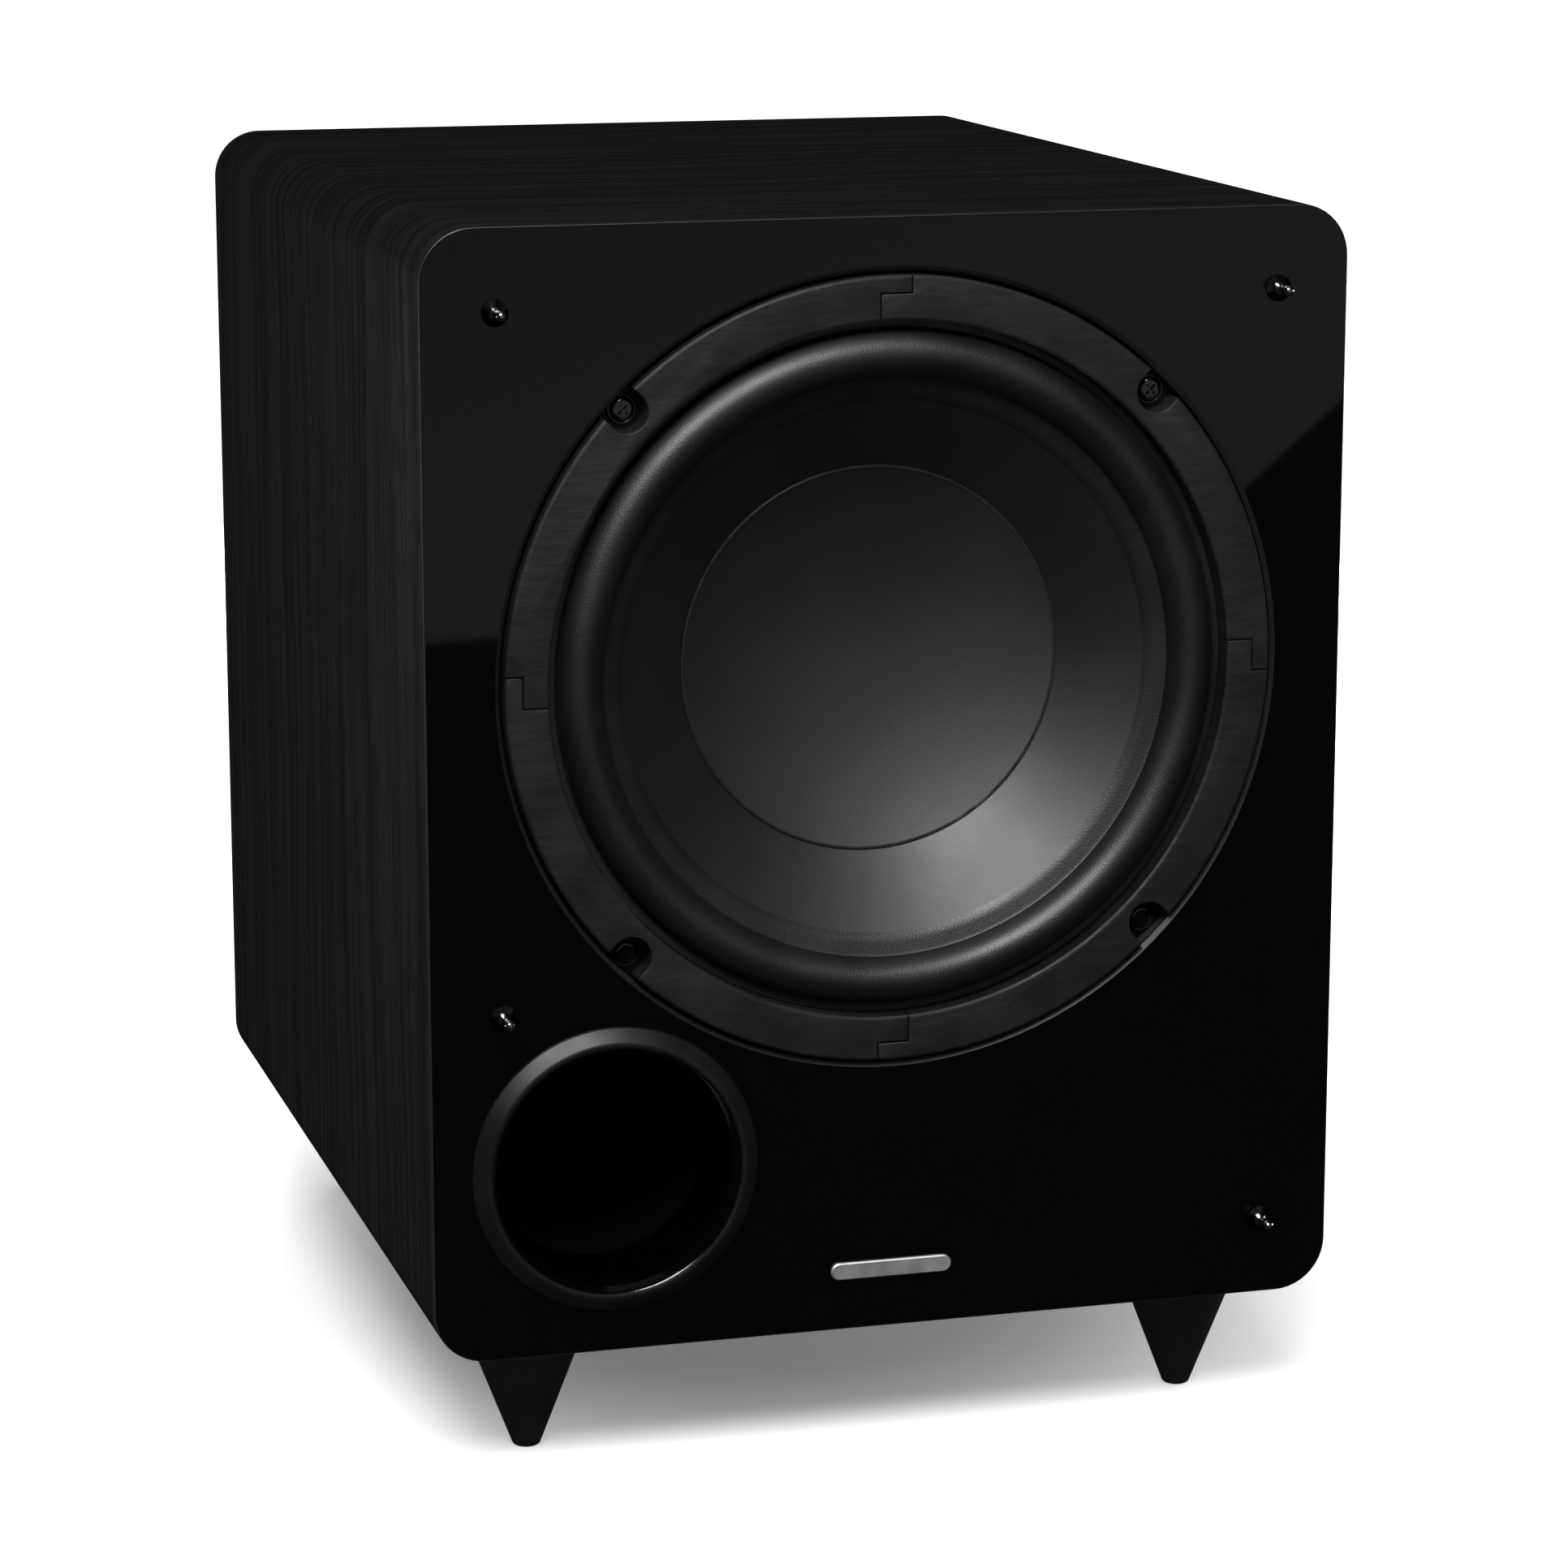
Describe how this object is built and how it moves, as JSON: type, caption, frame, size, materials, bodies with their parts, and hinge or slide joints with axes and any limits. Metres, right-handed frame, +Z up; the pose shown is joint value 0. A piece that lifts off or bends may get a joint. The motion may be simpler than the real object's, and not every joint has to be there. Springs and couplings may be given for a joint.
{
  "type": "powered subwoofer",
  "caption": "Powered subwoofer: vinyl-wrapped ported cabinet on conical feet, gloss front with large driver, rear plate amplifier.",
  "frame": {"origin": "on the ground, under the middle of the overall bounding box", "axes": "+Z up, front with driver and port faces -Y, +X to the right seen from the front"},
  "size_m": [0.32, 0.4318, 0.427],
  "materials": {
    "mdf": "raw MDF inside, sealed black at the rear edges",
    "ash_vinyl": "black ash wood-grain vinyl film, satin",
    "gloss_black": "polished piano black",
    "foot_black": "satin moulded black",
    "insert_steel": "zinc plated",
    "basket_steel": "black powder coat on pressed steel",
    "foam": "closed-cell foam gasket",
    "trim_rubber": "moulded matte rubber",
    "screw_black": "black zinc plated steel",
    "surround_rubber": "satin butyl rubber",
    "cone_paper": "coated pulp cone, fine satin",
    "cap_paper": "coated pulp dust cap, fine satin",
    "former": "thin aluminium tube",
    "copper": "enamelled copper",
    "spider_cloth": "resin-treated cotton cloth",
    "plated_steel": "zinc plated low-carbon steel",
    "ferrite": "sintered ferrite",
    "phenolic": "phenolic sheet",
    "port_plastic": "moulded ABS, satin rim and gloss throat",
    "tube_card": "black resin-bonded tube",
    "peg_metal": "black chrome on brass",
    "badge_metal": "plain satin bar, no lettering",
    "amp_black": "fine black powder coat",
    "heatsink_black": "black anodised extrusion",
    "pot_body": "zinc plated can",
    "shaft_metal": "turned aluminium",
    "knob_black": "moulded black with a white mark",
    "lever_black": "moulded black",
    "jack_metal": "gold-tone plating",
    "jack_core": "moulded insulator",
    "lamp": "clear green lamp",
    "socket_black": "moulded black",
    "rocker_black": "moulded black",
    "board": "green lacquered glass-epoxy",
    "capacitor": "black sleeved can",
    "toroid": "yellow tape over copper windings",
    "lead_sheath": "soft insulated wire"
  },
  "bodies": {
    "cabinet": {"amp_plate": "amp_black", "amp_screws": "screw_black", "amp_seal": "foam", "back_panel": "mdf", "badge_bar": "badge_metal", "bottom_panel": "mdf", "capacitors": "capacitor", "circuit_board": "board", "control_pots": "pot_body", "driver_basket": "basket_steel", "driver_screws": "screw_black", "driver_seal": "foam", "foot_front_left": "foot_black", "foot_front_right": "foot_black", "foot_inserts": "insert_steel", "foot_rear_left": "foot_black", "foot_rear_right": "foot_black", "front_baffle": "mdf", "gloss_fascia": "gloss_black", "grille_pegs": "peg_metal", "heatsink": "heatsink_black", "inlet_prongs": "jack_metal", "jack_cores": "jack_core", "jack_shells": "jack_metal", "left_panel": "mdf", "magnet": "ferrite", "pole_piece": "plated_steel", "port_flare": "port_plastic", "port_tube": "tube_card", "power_inlet": "socket_black", "power_transformer": "toroid", "right_panel": "mdf", "rocker_frame": "socket_black", "slide_switches": "pot_body", "speaker_leads": "lead_sheath", "spider": "spider_cloth", "status_lamp": "lamp", "surround": "surround_rubber", "terminal_board": "phenolic", "tinsel_leads": "copper", "top_panel": "mdf", "top_plate": "plated_steel", "trim_segment_1": "trim_rubber", "trim_segment_2": "trim_rubber", "trim_segment_3": "trim_rubber", "trim_segment_4": "trim_rubber", "vinyl_wrap": "ash_vinyl", "window_brace": "mdf"},
    "cone_assembly": {"cone": "cone_paper", "dust_cap": "cap_paper", "voice_coil_former": "former", "voice_coil_winding": "copper"},
    "volume_control": {"volume_shaft": "shaft_metal", "volume_knob": "knob_black"},
    "crossover_control": {"crossover_shaft": "shaft_metal", "crossover_knob": "knob_black"},
    "phase_control": {"phase_lever": "lever_black"},
    "mode_control": {"mode_lever": "lever_black"},
    "power_control": {"power_rocker": "rocker_black"},
    "fuse_tray": {"fuse_drawer": "socket_black"}
  },
  "joints": [
    {"name": "cone_stroke", "type": "slide", "parent": "cabinet", "child": "cone_assembly", "axis": [0, -1, 0], "range_m": [-0.008, 0.008], "stiffness_N_per_m": 2600, "deforming": ["surround", "spider", "tinsel_leads"]},
    {"name": "volume_turn", "type": "hinge", "parent": "cabinet", "child": "volume_control", "pos_m": [0.045, 0.2084, 0.328], "axis": [0, 1, 0], "range_deg": [-150, 150]},
    {"name": "crossover_turn", "type": "hinge", "parent": "cabinet", "child": "crossover_control", "pos_m": [-0.045, 0.2084, 0.328], "axis": [0, 1, 0], "range_deg": [-150, 150]},
    {"name": "phase_slide", "type": "slide", "parent": "cabinet", "child": "phase_control", "axis": [1, 0, 0], "range_m": [0, 0.004]},
    {"name": "mode_slide", "type": "slide", "parent": "cabinet", "child": "mode_control", "axis": [1, 0, 0], "range_m": [0, 0.004]},
    {"name": "power_rock", "type": "hinge", "parent": "cabinet", "child": "power_control", "pos_m": [0.045, 0.1971, 0.134], "axis": [1, 0, 0], "range_deg": [-16, 0]},
    {"name": "fuse_pull", "type": "slide", "parent": "cabinet", "child": "fuse_tray", "axis": [0, 1, 0], "range_m": [0, 0.012]}
  ]
}
